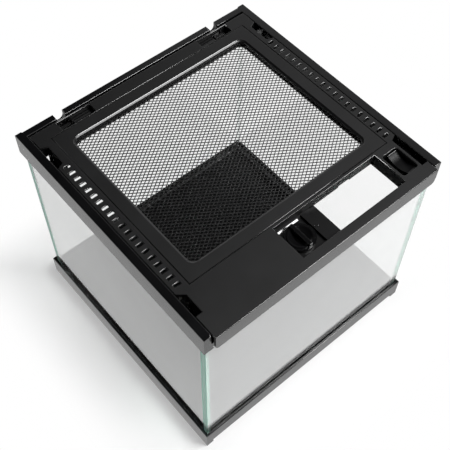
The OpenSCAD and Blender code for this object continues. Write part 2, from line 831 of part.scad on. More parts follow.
// Small screw with a slotted pan head below z
module small_screw(r, len, head_r, head_t) {
    cylinder(r = r, h = len);
    translate([0, 0, -head_t]) difference() {
        cylinder(r = head_r, h = head_t);
        translate([-head_r - over, -drive_w / 2, -over])
            cube([2 * (head_r + over), drive_w, drive_depth + over]);
    }
}

module keeper_screws() {
    color(bright_steel) for (x = boss_xs)
        translate([x, from_front(keeper_boss_y), keeper_z0 - shaft_gap])
            small_screw(keeper_screw_r, keeper_screw_len, keeper_head_r, keeper_head_t);
}

module feeding_door() {
    y0 = bay_y0 - door_under;
    y1 = bay_y1 + door_under;
    rib_y0 = bay_y0 + rib_in;
    rib_y1 = bay_y1 - rib_in;
    block_x1 = door_x1 - ledge_block_back + ledge_block_len;
    block_x0 = block_x1 - ledge_block_len;
    bar_x0 = bay_x0 + bar_start;
    dot_x = (block_x0 + block_x1) / 2;
    z = door_z1 - over;
    color(moulded) difference() {
        union() {
            block(door_x0, door_x1 - nose_len, y0, y1, door_z0, door_z1);
            block(door_x0, door_x1, y0, y1, door_z0, door_z1 - nose_drop);
            block(block_x0, block_x1, rib_y0, rib_y1, z, door_z1 + ledge_block_h);
            block(bar_x0, block_x1, rib_y0, rib_y0 + front_bar_w, z, door_z1 + front_bar_h);
            translate([bar_x0, rib_y1, door_z1]) rotate([90, 0, 90]) linear_extrude(bar_len)
                polygon([[-bar_w - bar_slope, 0], [-bar_w, bar_h], [0, bar_h],
                    [0, -door_t / 2], [-bar_w - bar_slope, -door_t / 2]]);
            for (s = [-1, 1])
                translate([dot_x + s * dot_gap / 2, bay_mid - s * dot_gap / 4, door_z1 + ledge_block_h])
                    sphere(dot_r);
        }
        translate([knob_x, bay_mid, door_z0 - over]) cylinder(r = hub_r + shaft_gap, h = door_t + 2 * over);
    }
}

module turn_knob() {
    z0 = door_z1 + seat_gap;
    stub_len = cam_t + 2 * hub_gap;
    hub_z0 = cam_z1 + hub_gap;
    color(dark_moulded) translate([knob_x, bay_mid, 0]) difference() {
        union() {
            translate([0, 0, hub_z0]) cylinder(r = hub_r, h = z0 + knob_h / 2 - hub_z0);
            translate([-stub_w / 2, -stub_w / 2, hub_z0 - stub_len]) cube([stub_w, stub_w, stub_len + over]);
            translate([0, 0, z0]) difference() {
                union() {
                    cylinder(r = knob_r, h = knob_h - knob_groove);
                    cylinder(r = knob_r - knob_ring_w, h = knob_h);
                }
                translate([0, 0, knob_h - bowl_depth + bowl_r]) sphere(bowl_r, $fn = 96);
            }
            translate([0, 0, z0]) intersection() {
                translate([-fin_w / 2, -knob_r, hub_floor]) cube([fin_w, 2 * knob_r, fin_h - hub_floor]);
                cylinder(r = knob_r - knob_groove, h = fin_h);
            }
        }
        translate([0, 0, hub_z0 - stub_len - over]) cylinder(r = screw_r + shaft_gap, h = screw_len + over);
    }
}

module knob_cam() {
    color(moulded) translate([knob_x, bay_mid, cam_z0]) difference() {
        intersection() {
            translate([-cam_half, -cam_w / 2, 0]) cube([2 * cam_half, cam_w, cam_t]);
            cylinder(r = cam_half, h = cam_t);
        }
        translate([-stub_w / 2 - stub_gap, -stub_w / 2 - stub_gap, -over])
            cube([stub_w + 2 * stub_gap, stub_w + 2 * stub_gap, cam_t + 2 * over]);
    }
}

module cam_screw() {
    z = cam_z0 - hub_gap - shaft_gap;
    color(bright_steel) translate([knob_x, bay_mid, z])
        small_screw(screw_r, screw_len - seat_gap, screw_head_r, screw_head_t);
}

module thumb_latch() {
    foot_x0 = pad_x0 - seam_gap;
    foot_x1 = latch_x1 + wall_t;
    color(dark_moulded) difference() {
        union() {
            block(pad_x0, pad_x1, pad_y0, pad_y1, foot_z1 - latch_foot_t / 2, pad_z1);
            block(foot_x0, foot_x1, latch_y0 - foot_back, latch_y1 + foot_back / 2, foot_z0, foot_z1);
            block(pad_x1 - over, bolt_x1, bolt_y0, bolt_y1, bolt_z0, bolt_z1);
        }
        translate([pad_x0 - over, latch_mid, pad_z1 + thumb_scoop_r - thumb_scoop_floor])
            rotate([0, 90, 0]) cylinder(r = thumb_scoop_r, h = latch_pad_w + 2 * over, $fn = 96);
        rod_x(pad_x0 - over, spring_y, spring_z, spring_r + spring_bore_gap, spring_bore_len + over);
    }
}

function spring_point(a, turn, r) = [
    spring_x0 + turn * (spring_x1 - spring_x0) / spring_turns + spring_wire_r * sin(a),
    spring_y + (r + spring_wire_r * cos(a)) * cos(360 * turn),
    spring_z + (r + spring_wire_r * cos(a)) * sin(360 * turn)];

// One unbroken coil along X
module latch_spring() {
    rings = spring_turns * spring_steps;
    n = spring_sides;
    pitch = (spring_x1 - spring_x0) / spring_turns;
    echo(spring_least_gap = pitch - 2 * spring_wire_r);
    points = [for (k = [0 : rings], s = [0 : n - 1])
        spring_point(360 * s / n, k / spring_steps, spring_r - spring_wire_r)];
    sides = [for (k = [0 : rings - 1], s = [0 : n - 1], half = [0, 1])
        half == 0
            ? [k * n + s, k * n + (s + 1) % n, (k + 1) * n + s]
            : [k * n + (s + 1) % n, (k + 1) * n + (s + 1) % n, (k + 1) * n + s]];
    first = [for (s = [1 : n - 2]) [0, s + 1, s]];
    last = [for (s = [1 : n - 2]) [rings * n, rings * n + s, rings * n + s + 1]];
    color(bright_steel) polyhedron(points, concat(sides, first, last));
}

// Sliding cover of one inlet, with a grip rib; grip_side is +1 where the rib is at its right end
module inlet_shutter(x0, grip_side) {
    y0 = from_back(inlet_back + inlet_w + shutter_edge);
    y1 = from_back(lid_back + skirt_t + shutter_gap);
    z1 = below_top(shutter_drop);
    grip = grip_side > 0 ? x0 + shutter_len - shutter_grip_w : x0;
    color(dark_moulded) {
        block(x0, x0 + shutter_len, y0, y1, z1 - shutter_t, z1);
        block(grip, grip + shutter_grip_w, from_back(inlet_back + inlet_w - shutter_gap),
            from_back(inlet_back + shutter_gap), z1 - shutter_t / 2, z1 + shutter_grip_h);
    }
}

module inlet_shutter_left() {
    inlet_shutter(inlet_left_x0 + inlet_open, -1);
}

module inlet_shutter_right() {
    inlet_shutter(inlet_right_x1 - inlet_open - shutter_len, 1);
}

base_frame();
floor_pan();
glass_front();
glass_back();
glass_left();
glass_right();
corner_seals();
top_frame();
hinge_pins();
lid_panel();
door_track();
inlet_tracks();
screen_frame();
screen_mesh();
mesh_retainer();
latch_keeper();
keeper_screws();
feeding_door();
turn_knob();
knob_cam();
cam_screw();
thumb_latch();
latch_spring();
inlet_shutter_left();
inlet_shutter_right();
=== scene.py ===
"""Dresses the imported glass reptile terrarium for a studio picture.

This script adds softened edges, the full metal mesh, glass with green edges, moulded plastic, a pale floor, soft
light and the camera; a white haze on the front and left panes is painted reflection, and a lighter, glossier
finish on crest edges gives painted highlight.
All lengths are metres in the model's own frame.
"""

from __future__ import annotations

import logging
import math
from dataclasses import dataclass, field
from enum import Enum

import bmesh
import bpy
from mathutils import Matrix, Vector


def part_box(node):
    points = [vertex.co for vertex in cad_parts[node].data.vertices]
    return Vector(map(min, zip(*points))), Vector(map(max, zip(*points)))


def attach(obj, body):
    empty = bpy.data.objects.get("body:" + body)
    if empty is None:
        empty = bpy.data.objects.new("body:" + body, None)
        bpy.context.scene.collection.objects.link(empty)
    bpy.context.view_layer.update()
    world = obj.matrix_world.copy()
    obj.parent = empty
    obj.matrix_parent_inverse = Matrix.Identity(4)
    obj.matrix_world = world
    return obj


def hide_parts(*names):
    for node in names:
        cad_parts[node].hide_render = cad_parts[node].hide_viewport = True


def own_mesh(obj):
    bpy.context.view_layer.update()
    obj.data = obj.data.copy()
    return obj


LOG = logging.getLogger("terrarium")
MM = 0.001
WELD = 1e-6
SKIN = 0.01 * MM
FLAT_TURN = math.radians(0.5)
SHARP_TURN = math.radians(28)
SHADED_TURN = math.radians(50)
SQUARE_ON = 0.99
FLAT_WEIGHT = 100
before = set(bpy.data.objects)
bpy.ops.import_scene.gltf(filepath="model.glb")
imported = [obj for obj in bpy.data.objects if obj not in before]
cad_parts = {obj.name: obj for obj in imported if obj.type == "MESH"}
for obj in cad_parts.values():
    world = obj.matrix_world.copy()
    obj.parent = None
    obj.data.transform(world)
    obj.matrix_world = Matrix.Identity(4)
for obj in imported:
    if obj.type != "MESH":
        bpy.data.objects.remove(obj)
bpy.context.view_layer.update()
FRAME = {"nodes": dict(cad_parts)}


class Body(Enum):
    """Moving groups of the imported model."""

    TANK = "tank"
    LID = "lid"
    DOOR = "feeding_door"
    LOCK = "door_lock"
    LATCH = "thumb_latch"
    LEFT_SHUTTER = "left_shutter"
    RIGHT_SHUTTER = "right_shutter"


class Slot(Enum):
    """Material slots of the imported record."""

    FRAME = "frame_plastic"
    LID = "lid_plastic"
    FITTING = "fitting_plastic"
    FLOOR = "floor_plastic"
    GLASS = "pane_glass"
    SEAL = "sealant"
    MESH = "mesh_metal"
    STEEL = "steel"
    SPRING = "spring_steel"


def combine(tree: bpy.types.NodeTree, operation: str, first: bpy.types.NodeSocket,
            second: bpy.types.NodeSocket) -> bpy.types.NodeSocket:
    """Joins two values by a maths operation.

    Args:
        tree: Node tree that takes the node.
        operation: Blender's name of the operation.
        first: First value.
        second: Second value.

    Returns:
        The result.
    """
    node = tree.nodes.new("ShaderNodeMath")
    node.operation = operation
    tree.links.new(first, node.inputs[0])
    tree.links.new(second, node.inputs[1])
    return node.outputs["Value"]


def fade(tree: bpy.types.NodeTree, value: bpy.types.NodeSocket, start: float, end: float,
         low: float, high: float) -> bpy.types.NodeSocket:
    """Turns a value into one that goes smoothly from low to high.

    Args:
        tree: Node tree that takes the node.
        value: Value to follow.
        start: Value where the change starts.
        end: Value where the change ends.
        low: Result at the start.
        high: Result at the end.

    Returns:
        The result.
    """
    node = tree.nodes.new("ShaderNodeMapRange")
    node.interpolation_type = "SMOOTHSTEP"
    node.inputs["From Min"].default_value = start
    node.inputs["From Max"].default_value = end
    node.inputs["To Min"].default_value = low
    node.inputs["To Max"].default_value = high
    tree.links.new(value, node.inputs["Value"])
    return node.outputs["Result"]


class NodeBuilder:
    """Lays out and links the nodes of one material."""

    def __init__(self, name: str) -> None:
        """Starts an empty material.

        Args:
            name: Name of the material.
        """
        self.material = bpy.data.materials.new(name)
        self.material.use_nodes = True
        self.tree = self.material.node_tree
        self.tree.nodes.clear()
        self.output = self.tree.nodes.new("ShaderNodeOutputMaterial")
        self.coords = self.tree.nodes.new("ShaderNodeTexCoord").outputs["Object"]

    def add(self, kind: str, **settings: object) -> bpy.types.Node:
        """Adds a node and sets its properties and input values.

        Args:
            kind: Blender's node type.
            **settings: Node properties, or input names with underscores for spaces.

        Returns:
            The new node.
        """
        node = self.tree.nodes.new(kind)
        for key, value in settings.items():
            if hasattr(node, key):
                setattr(node, key, value)
            else:
                node.inputs[key.replace("_", " ")].default_value = value
        return node

    def link(self, source: bpy.types.NodeSocket, target: bpy.types.NodeSocket) -> None:
        """Joins two sockets."""
        self.tree.links.new(source, target)

    def noise(self, scale: float, detail: float,
              stretch: tuple[float, float, float] = (1, 1, 1)) -> bpy.types.NodeSocket:
        """Adds a noise pattern on Object coordinates.

        Args:
            scale: Cells per metre.
            detail: Octaves of finer noise.
            stretch: Scale of the pattern along each axis.

        Returns:
            The factor output of the noise.
        """
        mapping = self.add("ShaderNodeMapping")
        mapping.inputs["Scale"].default_value = stretch
        self.link(self.coords, mapping.inputs["Vector"])
        noise = self.add("ShaderNodeTexNoise", Scale=scale, Detail=detail)
        self.link(mapping.outputs["Vector"], noise.inputs["Vector"])
        return noise.outputs["Fac"]

    def ramp(self, factor: bpy.types.NodeSocket, low: tuple[float, float, float],
             high: tuple[float, float, float], start: float = 0.35, end: float = 0.65) -> bpy.types.NodeSocket:
        """Maps a factor to a blend of two colours.

        Args:
            factor: Value from 0 to 1.
            low: Colour at the start.
            high: Colour at the end.
            start: Factor where the blend starts.
            end: Factor where the blend ends.

        Returns:
            The colour output.
        """
        node = self.add("ShaderNodeValToRGB")
        node.color_ramp.elements[0].position = start
        node.color_ramp.elements[0].color = (*low, 1)
        node.color_ramp.elements[1].position = end
        node.color_ramp.elements[1].color = (*high, 1)
        self.link(factor, node.inputs["Fac"])
        return node.outputs["Color"]

    def bump(self, height: bpy.types.NodeSocket, strength: float, distance: float) -> bpy.types.NodeSocket:
        """Turns a height pattern into a bumped normal.

        Args:
            height: Height pattern.
            strength: Share of the bump that is used.
            distance: Depth of the bump in metres.

        Returns:
            The normal output.
        """
        node = self.add("ShaderNodeBump", Strength=strength, Distance=distance)
        self.link(height, node.inputs["Height"])
        return node.outputs["Normal"]

    def range(self, factor: bpy.types.NodeSocket, low: float, high: float) -> bpy.types.NodeSocket:
        """Maps a factor from 0..1 to low..high."""
        node = self.add("ShaderNodeMapRange")
        node.inputs["To Min"].default_value = low
        node.inputs["To Max"].default_value = high
        self.link(factor, node.inputs["Value"])
        return node.outputs["Result"]


@dataclass(frozen=True)
class MouldedPlastic:
    """Black injection-moulded plastic with a fine spark-eroded grain."""

    name: str
    dark: tuple[float, float, float] = (0.0026, 0.0026, 0.0028)
    light: tuple[float, float, float] = (0.005, 0.005, 0.0053)
    rough_low: float = 0.46
    rough_high: float = 0.54
    grain: float = 2600.0
    grain_depth: float = 0.00003
    index: float = 1.48
    cloud: float = 28.0
    wear: float = 90.0
    grain_strength: float = 0.35

    def material(self) -> bpy.types.Material:
        """Builds the plastic's material.

        Returns:
            The material.
        """
        b = NodeBuilder(self.name)
        shader = b.add("ShaderNodeBsdfPrincipled")
        shader.inputs["IOR"].default_value = self.index
        b.link(b.ramp(b.noise(self.cloud, 3.0), self.dark, self.light), shader.inputs["Base Color"])
        b.link(b.range(b.noise(self.wear, 2.0), self.rough_low, self.rough_high), shader.inputs["Roughness"])
        grain = b.bump(b.noise(self.grain, 2.0), self.grain_strength, self.grain_depth)
        b.link(grain, shader.inputs["Normal"])
        b.link(shader.outputs["BSDF"], b.output.inputs["Surface"])
        return b.material


@dataclass(frozen=True)
class FloatGlass:
    """Float glass; the ground edges take a pale green. Where it is given a low transmission over its near-white
    base colour, the white haze that shows is a painted reflection.
    """

    name: str
    tint: tuple[float, float, float]
    transmission: float
    roughness: float
    shadow: tuple[float, float, float] = (0.93, 0.95, 0.94)
    ior: float = 1.45
    foot: tuple[float, float] = (0.026, 0.032)
    smear: float = 35.0
    smear_lift: float = 1.02
    smear_rough: float = 0.01

    def material(self) -> bpy.types.Material:
        """Builds glass whose shadow stays light; its transmission reaches the set value only above the foot, so
        the painted reflection haze of the front and left panes stops above the foot and the lowest band stays
        clear.

        Returns:
            The material.
        """
        b = NodeBuilder(self.name)
        shader = b.add("ShaderNodeBsdfPrincipled")
        split = b.add("ShaderNodeSeparateXYZ")
        b.link(b.coords, split.inputs["Vector"])
        # transmission goes from 1 at the foot to the set value above it; on the front and left panes the lower
        # value gives the white haze of painted reflection
        film = fade(b.tree, split.outputs["Z"], *self.foot, 1.0, self.transmission)
        b.link(film, shader.inputs["Transmission Weight"])
        shader.inputs["IOR"].default_value = self.ior
        smear = b.noise(self.smear, 2.0)
        tint = tuple(min(1.0, self.smear_lift * v) for v in self.tint)
        b.link(b.ramp(smear, self.tint, tint), shader.inputs["Base Color"])
        b.link(b.range(smear, self.roughness, self.roughness + self.smear_rough), shader.inputs["Roughness"])
        clear = b.add("ShaderNodeBsdfTransparent")
        clear.inputs["Color"].default_value = (*self.shadow, 1)
        path = b.add("ShaderNodeLightPath")
        mix = b.add("ShaderNodeMixShader")
        b.link(path.outputs["Is Shadow Ray"], mix.inputs["Fac"])
        b.link(shader.outputs["BSDF"], mix.inputs[1])
        b.link(clear.outputs["BSDF"], mix.inputs[2])
        b.link(mix.outputs["Shader"], b.output.inputs["Surface"])
        return b.material


@dataclass(frozen=True)
class CuredSealant:
    """Clear sealant in the inner corners of the panes."""

    name: str
    colour: tuple[float, float, float] = (0.94, 0.98, 0.96)
    pale: tuple[float, float, float] = (0.98, 1.0, 0.99)
    transmission: float = 0.96
    ior: float = 1.06
    roughness: float = 0.04
    wave: float = 60.0
    wave_stretch: tuple[float, float, float] = (1, 1, 0.3)
    wave_strength: float = 0.2
    wave_depth: float = 0.0001

    def material(self) -> bpy.types.Material:
        """Builds the sealant's material.

        Returns:
            The material.
        """
        b = NodeBuilder(self.name)
        shader = b.add("ShaderNodeBsdfPrincipled")
        shader.inputs["Transmission Weight"].default_value = self.transmission
        shader.inputs["IOR"].default_value = self.ior
        shader.inputs["Roughness"].default_value = self.roughness
        wave = b.noise(self.wave, 2.0, self.wave_stretch)
        b.link(b.ramp(wave, self.colour, self.pale), shader.inputs["Base Color"])
        b.link(b.bump(wave, self.wave_strength, self.wave_depth), shader.inputs["Normal"])
        b.link(shader.outputs["BSDF"], b.output.inputs["Surface"])
        return b.material


@dataclass(frozen=True)
class Metal:
    """Bare or coated metal with fine marks."""

    name: str
    dark: tuple[float, float, float]
    light: tuple[float, float, float]
    metallic: float
    roughness: float
    grain: float = 900.0
    depth: float = 0.00002
    strength: float = 0.3
    smoother: float = 0.05
    rougher: float = 0.08

    def material(self) -> bpy.types.Material:
        """Builds the metal's material.

        Returns:
            The material.
        """
        b = NodeBuilder(self.name)
        shader = b.add("ShaderNodeBsdfPrincipled")
        shader.inputs["Metallic"].default_value = self.metallic
        marks = b.noise(self.grain, 3.0)
        b.link(b.ramp(marks, self.dark, self.light), shader.inputs["Base Color"])
        roughness = b.range(marks, self.roughness - self.smoother, self.roughness + self.rougher)
        b.link(roughness, shader.inputs["Roughness"])
        b.link(b.bump(marks, self.strength, self.depth), shader.inputs["Normal"])
        b.link(shader.outputs["BSDF"], b.output.inputs["Surface"])
        return b.material


@dataclass(frozen=True)
class Palette:
    """Every finish of the terrarium, made once."""

    frame: bpy.types.Material
    apron: bpy.types.Material
    door: bpy.types.Material
    lid: bpy.types.Material
    fitting: bpy.types.Material
    thumb: bpy.types.Material
    slope: bpy.types.Material
    floor: bpy.types.Material
    polished: bpy.types.Material
    glass: bpy.types.Material
    filmed: bpy.types.Material
    glass_edge: bpy.types.Material
    seal: bpy.types.Material
    mesh: bpy.types.Material
    steel: bpy.types.Material
    spring: bpy.types.Material

    @classmethod
    def make(cls) -> "Palette":
        """Builds all the materials.

        Returns:
            The finished palette.
        """
        return cls(
            frame=MouldedPlastic("frame_plastic", dark=(0.0025, 0.0025, 0.0028), light=(0.0045, 0.0045, 0.005),
                                 rough_low=0.2, rough_high=0.28, grain=3200.0, grain_depth=0.000006,
                                 index=1.46).material(),
            apron=MouldedPlastic("apron_plastic", rough_low=0.22, rough_high=0.3, grain_depth=0.000006,
                                 index=1.66).material(),
            door=MouldedPlastic("door_plastic", rough_low=0.3, rough_high=0.36, grain_depth=0.00001,
                                index=1.46).material(),
            lid=MouldedPlastic("lid_plastic").material(),
            fitting=MouldedPlastic("fitting_plastic", dark=(0.0028, 0.0028, 0.003), light=(0.005, 0.005, 0.0054),
                                   rough_low=0.13, rough_high=0.18, grain=2400.0, grain_depth=0.000006,
                                   index=1.55).material(),
            thumb=MouldedPlastic("thumb_plastic", dark=(0.0028, 0.0028, 0.003), light=(0.005, 0.005, 0.0054),
                                 rough_low=0.28, rough_high=0.34, grain=2400.0, grain_depth=0.000008,
                                 index=1.22).material(),
            slope=MouldedPlastic("slope_plastic", rough_low=0.3, rough_high=0.36, grain_depth=0.00001).material(),
            floor=MouldedPlastic("floor_plastic", dark=(0.0018, 0.0018, 0.002), light=(0.003, 0.003, 0.0032),
                                 rough_low=0.55, rough_high=0.65, index=1.08).material(),
            # crest edges and slopes: a lighter, glossier copy of the plastic, painted highlight along the edges
            polished=MouldedPlastic("polished_edge", dark=(0.004, 0.004, 0.0042), light=(0.007, 0.007, 0.0072),
                                    rough_low=0.16, rough_high=0.22, grain=3200.0, grain_depth=0.000004,
                                    index=1.85).material(),
            glass=FloatGlass("pane_glass", (0.98, 0.99, 0.985), 1.0, 0.0, ior=1.3).material(),
            # front and left panes' outer faces: a white haze over the glass that is a painted reflection
            filmed=FloatGlass("pane_glass_filmed", (0.96, 0.97, 0.97), 0.5, 0.0).material(),
            glass_edge=FloatGlass("pane_glass_edge", (0.24, 0.66, 0.5), 0.3, 0.3).material(),
            seal=CuredSealant("sealant").material(),
            mesh=Metal("mesh_metal", (0.012, 0.012, 0.012), (0.026, 0.026, 0.026), 0.0, 0.25).material(),
            steel=Metal("steel", (0.42, 0.42, 0.43), (0.6, 0.6, 0.61), 1.0, 0.28).material(),
            spring=Metal("spring_steel", (0.012, 0.012, 0.013), (0.03, 0.03, 0.031), 0.6, 0.35).material(),
        )


def joined_copy(node: str) -> bmesh.types.BMesh:
    """Copies a CAD node's mesh and joins its triangles into flat faces.

    Args:
        node: Name of the CAD node.

    Returns:
        The copy.
    """
    bm = bmesh.new()
    bm.from_mesh(FRAME["nodes"][node].data)
    bmesh.ops.remove_doubles(bm, verts=bm.verts, dist=WELD)
    bmesh.ops.dissolve_limit(bm, angle_limit=FLAT_TURN, verts=bm.verts, edges=bm.edges)
    return bm


def sharp_edges(bm: bmesh.types.BMesh, low: float, high: float) -> list[bmesh.types.BMEdge]:
    """Lists the sharp edges between two heights.

    Args:
        bm: Mesh.
        low: Least height of an edge's ends.
        high: Greatest height of an edge's ends.

    Returns:
        The edges.
    """
    return [e for e in bm.edges if len(e.link_faces) == 2 and e.calc_face_angle(0.0) > SHARP_TURN
            and all(low <= v.co.z <= high for v in e.verts)]


@dataclass
class SoftenedSolid:
    """A CAD solid's copy with fine rounded edges; its crest edges, and its slopes where no slope finish is given,
    take a lighter, glossier copy of the plastic whose glints are painted highlight.

    The front and slope finishes, where given, go on the foremost face and on the sloping faces.
    """

    node: str
    body: Body
    slot: Slot
    material: bpy.types.Material
    polished: bpy.types.Material
    radius: float = 0.25 * MM
    crest: float = 0.4 * MM
    segments: int = 2
    front: bpy.types.Material | None = None
    slope: bpy.types.Material | None = None
    crest_reach: float = 1.5
    slope_rise: tuple[float, float] = (0.5, 0.97)

    def build(self) -> bpy.types.Object:
        """Copies the node's mesh, rounds its edges and puts it in the node's place.

        Returns:
            The new piece.
        """
        bm = joined_copy(self.node)
        self.paint(bm)
        top = max(v.co.z for v in bm.verts)
        # the top crest bevels take the lighter, glossier finish: painted highlight along the edges
        for face in self.round(bm, sharp_edges(bm, top - SKIN, top + MM), self.crest, False):
            face.material_index = 1
        self.round(bm, sharp_edges(bm, -MM, top - self.crest_reach * self.crest), self.radius, True)
        for face in bm.faces:
            face.smooth = True
        for edge in bm.edges:
            edge.smooth = edge.calc_face_angle(0.0) < SHADED_TURN
        piece = new_object(bm, f"{self.node}_shell", self.material, self.polished, self.front or self.material,
                           self.slope or self.polished)
        weight_normals(piece)
        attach(piece, self.body.value)
        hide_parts(self.node)
        return piece

    def round(self, bm: bmesh.types.BMesh, edges: list[bmesh.types.BMEdge], radius: float,
              clamp: bool) -> list[bmesh.types.BMFace]:
        """Rounds edges.

        Args:
            bm: The solid.
            edges: Edges to round.
            radius: Radius of the rounding.
            clamp: Whether roundings that would cross are kept apart.

        Returns:
            The new faces.
        """
        rounded = bmesh.ops.bevel(bm, geom=edges, offset=radius, offset_type="OFFSET", affect="EDGES",
                                  segments=self.segments, profile=0.5, material=-1, clamp_overlap=clamp)
        return rounded["faces"]

    def paint(self, bm: bmesh.types.BMesh) -> None:
        """Marks the sloping faces and the foremost face for their own finishes.

        Args:
            bm: The solid, before its edges are rounded.
        """
        nearest = min(v.co.y for v in bm.verts)
        steep, level = self.slope_rise
        for face in bm.faces:
            # sloping faces take the slope finish, else the lighter, glossier one: painted highlight
            if steep < face.normal.z < level:
                face.material_index = 3
            elif face.normal.y < -SQUARE_ON and face.calc_center_median().y < nearest + SKIN:
                face.material_index = 2


def new_object(bm: bmesh.types.BMesh, name: str, *materials: bpy.types.Material) -> bpy.types.Object:
    """Turns a bmesh into an object of the scene.

    Args:
        bm: Finished mesh; it is freed.
        name: Name of the piece.
        *materials: Materials of the mesh's slots.

    Returns:
        The object, at the origin.
    """
    mesh = bpy.data.meshes.new(name)
    bm.to_mesh(mesh)
    bm.free()
    for material in materials:
        mesh.materials.append(material)
    piece = bpy.data.objects.new(name, mesh)
    bpy.context.scene.collection.objects.link(piece)
    return piece


def weight_normals(piece: bpy.types.Object) -> None:
    """Keeps flat faces flat beside rounded edges.

    Args:
        piece: Object with smooth faces.
    """
    modifier = piece.modifiers.new("weighted", "WEIGHTED_NORMAL")
    modifier.keep_sharp = True
    modifier.weight = FLAT_WEIGHT


def dress_node(node: str, material: bpy.types.Material) -> None:
    """Gives a CAD node its finish.

    Args:
        node: Name of the CAD node.
        material: Its new material.
    """
    mesh = FRAME["nodes"][node].data
    mesh.materials.clear()
    mesh.materials.append(material)


@dataclass
class TankBody:
    """Base frame, floor, panes, corner seals, top frame and hinge pins."""

    palette: Palette
    filmed: tuple[str, ...] = ("glass_front", "glass_left")
    outward: dict[str, Vector] = field(default_factory=lambda: {
        "glass_front": Vector((0, -1, 0)), "glass_back": Vector((0, 1, 0)),
        "glass_left": Vector((-1, 0, 0)), "glass_right": Vector((1, 0, 0))})
    far_corner: float = 90.0 * MM

    def build(self) -> list[bpy.types.Object]:
        """Builds the fixed tank.

        Returns:
            Its pieces.
        """
        pieces = [
            SoftenedSolid("base_frame", Body.TANK, Slot.FRAME, self.palette.frame, self.palette.polished).build(),
            SoftenedSolid("top_frame", Body.TANK, Slot.FRAME, self.palette.frame, self.palette.polished).build(),
            SoftenedSolid("floor_pan", Body.TANK, Slot.FLOOR, self.palette.floor, self.palette.floor).build(),
        ]
        pieces += [self.pane(name) for name in self.outward]
        dress_node("corner_seals", self.palette.seal)
        dress_node("hinge_pins", self.palette.steel)
        return pieces

    def pane(self, node: str) -> bpy.types.Object:
        """Copies a pane; its narrow faces are green but at the far corner, and the outer faces of the front and
        left panes take a white haze that is a painted reflection.

        Args:
            node: Name of the pane's CAD node.

        Returns:
            The pane.
        """
        bm = joined_copy(node)
        for face in bm.faces:
            facing = face.normal.dot(self.outward[node])
            middle = face.calc_center_median()
            # the outer faces of the front and left panes take the white haze: painted reflection
            if facing > SQUARE_ON and node in self.filmed:
                face.material_index = 2
            elif abs(facing) < SQUARE_ON and min(middle.x, middle.y) < self.far_corner:
                face.material_index = 1
        piece = new_object(bm, f"{node}_pane", self.palette.glass, self.palette.glass_edge, self.palette.filmed)
        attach(piece, Body.TANK.value)
        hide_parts(node)
        return piece


@dataclass
class ExpandedMesh:
    """Slit and stretched metal mesh in the lid's screen."""

    palette: Palette
    cell_x: float = 4.12 * MM
    cell_y: float = 2.86 * MM
    strand: float = 0.55 * MM
    thickness: float = 0.3 * MM
    spare_cells: int = 6

    def build(self) -> bpy.types.Object:
        """Builds the lattice from a turned grid whose cells are inset and cut out.

        Returns:
            The mesh piece.
        """
        low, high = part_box("screen_mesh")
        middle = (low + high) / 2
        width = high.x - low.x
        depth = high.y - low.y
        count = math.ceil(max(width / self.cell_x, depth / self.cell_y)) + self.spare_cells
        bm = bmesh.new()
        bmesh.ops.create_grid(bm, x_segments=2 * count, y_segments=2 * count, size=count / math.sqrt(2))
        bmesh.ops.rotate(bm, verts=bm.verts, cent=(0, 0, 0), matrix=Matrix.Rotation(math.radians(45), 3, "Z"))
        bmesh.ops.scale(bm, verts=bm.verts, vec=(self.cell_x, self.cell_y, 1))
        self.crop(bm, width + 2 * self.cell_x, depth + 2 * self.cell_y)
        inset = bmesh.ops.inset_individual(bm, faces=bm.faces[:], thickness=self.strand / 2, use_even_offset=True)
        rims = set(inset["faces"])
        bmesh.ops.delete(bm, geom=[f for f in bm.faces if f not in rims], context="FACES")
        self.crop(bm, width, depth)
        bmesh.ops.translate(bm, verts=bm.verts, vec=(middle.x, middle.y, high.z - self.thickness))
        bmesh.ops.recalc_face_normals(bm, faces=bm.faces)
        bmesh.ops.solidify(bm, geom=bm.faces[:], thickness=-self.thickness)
        piece = new_object(bm, "screen_lattice", self.palette.mesh)
        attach(piece, Body.LID.value)
        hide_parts("screen_mesh")
        return piece

    def crop(self, bm: bmesh.types.BMesh, width: float, depth: float) -> None:
        """Cuts the lattice to a rectangle about the origin.

        Args:
            bm: Lattice.
            width: Width to keep.
            depth: Depth to keep.
        """
        for axis, half in ((Vector((1, 0, 0)), width / 2), (Vector((0, 1, 0)), depth / 2)):
            for side in (-1, 1):
                geom = bm.verts[:] + bm.edges[:] + bm.faces[:]
                bmesh.ops.bisect_plane(bm, geom=geom, dist=WELD / 10, plane_co=axis * half * side,
                                       plane_no=axis * side, clear_outer=True)


@dataclass
class LidAssembly:
    """Lid panel, door track, inlet tracks, screen, retainer, keeper and screws."""

    palette: Palette

    def build(self) -> list[bpy.types.Object]:
        """Builds the lid and what is fixed to it.

        Returns:
            Its pieces.
        """
        pieces = [
            SoftenedSolid("lid_panel", Body.LID, Slot.LID, self.palette.lid, self.palette.polished,
                          front=self.palette.apron).build(),
            SoftenedSolid("screen_frame", Body.LID, Slot.LID, self.palette.lid, self.palette.polished,
                          slope=self.palette.slope).build(),
            ExpandedMesh(self.palette).build(),
        ]
        for node in ("door_track", "inlet_tracks", "mesh_retainer", "latch_keeper"):
            dress_node(node, self.palette.lid)
        dress_node("keeper_screws", self.palette.steel)
        return pieces


@dataclass
class FeedingDoor:
    """Sliding door with its knob, cam and screw."""

    palette: Palette
    edge: float = 0.2 * MM
    knob_crest: float = 0.25 * MM

    def build(self) -> list[bpy.types.Object]:
        """Builds the door and its lock.

        Returns:
            Its pieces.
        """
        pieces = [
            SoftenedSolid("feeding_door", Body.DOOR, Slot.LID, self.palette.door, self.palette.polished,
                          self.edge, self.edge).build(),
            SoftenedSolid("turn_knob", Body.LOCK, Slot.FITTING, self.palette.fitting, self.palette.polished,
                          crest=self.knob_crest, slope=self.palette.fitting).build(),
        ]
        dress_node("knob_cam", self.palette.lid)
        dress_node("cam_screw", self.palette.steel)
        return pieces


